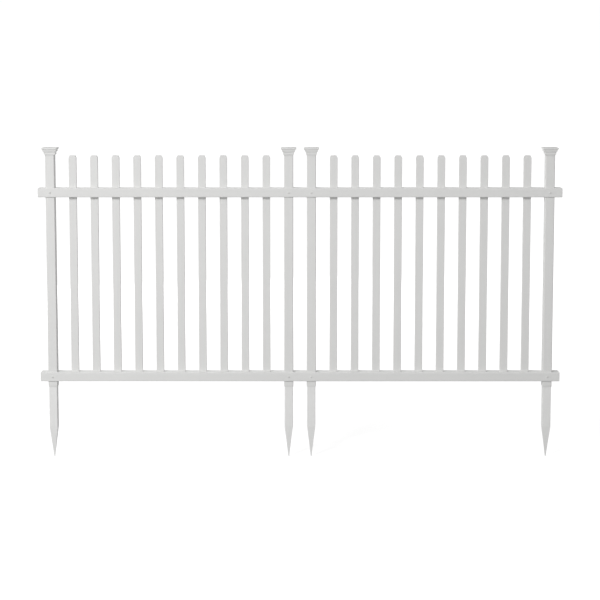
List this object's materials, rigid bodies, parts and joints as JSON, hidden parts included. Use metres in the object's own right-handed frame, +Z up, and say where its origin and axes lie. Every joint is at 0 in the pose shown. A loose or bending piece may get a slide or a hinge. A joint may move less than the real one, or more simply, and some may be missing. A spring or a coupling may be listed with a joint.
{
  "type": "picket fence panel",
  "caption": "White vinyl picket fence, butted panels with square posts, moulded post caps, clipped pickets, deep rails and pointed ground stakes.",
  "frame": {"origin": "on the foot of the left end post, in the middle of its outer wall, at ground level", "axes": "+X along the fence, -Y to the front, +Z up"},
  "size_m": [2.3368, 0.0686, 1.406],
  "materials": {
    "post_vinyl": "satin extruded",
    "rail_vinyl": "satin extruded",
    "picket_vinyl": "satin extruded",
    "cap_plastic": "satin moulded",
    "stake_plastic": "satin moulded",
    "screw_paint": "semi-gloss"
  },
  "bodies": {
    "root": {"left_end_post": "post_vinyl", "left_end_post_cap": "cap_plastic", "left_end_stake": "stake_plastic", "left_inner_post": "post_vinyl", "left_inner_post_cap": "cap_plastic", "left_inner_stake": "stake_plastic", "right_inner_post": "post_vinyl", "right_inner_post_cap": "cap_plastic", "right_inner_stake": "stake_plastic", "right_end_post": "post_vinyl", "right_end_post_cap": "cap_plastic", "right_end_stake": "stake_plastic", "left_bottom_rail": "rail_vinyl", "left_bottom_rail_end_cap": "cap_plastic", "left_top_rail": "rail_vinyl", "left_top_rail_end_cap": "cap_plastic", "left_picket_01": "picket_vinyl", "left_picket_02": "picket_vinyl", "left_picket_03": "picket_vinyl", "left_picket_04": "picket_vinyl", "left_picket_05": "picket_vinyl", "left_picket_06": "picket_vinyl", "left_picket_07": "picket_vinyl", "left_picket_08": "picket_vinyl", "left_picket_09": "picket_vinyl", "left_picket_10": "picket_vinyl", "right_bottom_rail": "rail_vinyl", "right_bottom_rail_end_cap": "cap_plastic", "right_top_rail": "rail_vinyl", "right_top_rail_end_cap": "cap_plastic", "right_picket_01": "picket_vinyl", "right_picket_02": "picket_vinyl", "right_picket_03": "picket_vinyl", "right_picket_04": "picket_vinyl", "right_picket_05": "picket_vinyl", "right_picket_06": "picket_vinyl", "right_picket_07": "picket_vinyl", "right_picket_08": "picket_vinyl", "right_picket_09": "picket_vinyl", "right_picket_10": "picket_vinyl"}
  },
  "joints": []
}
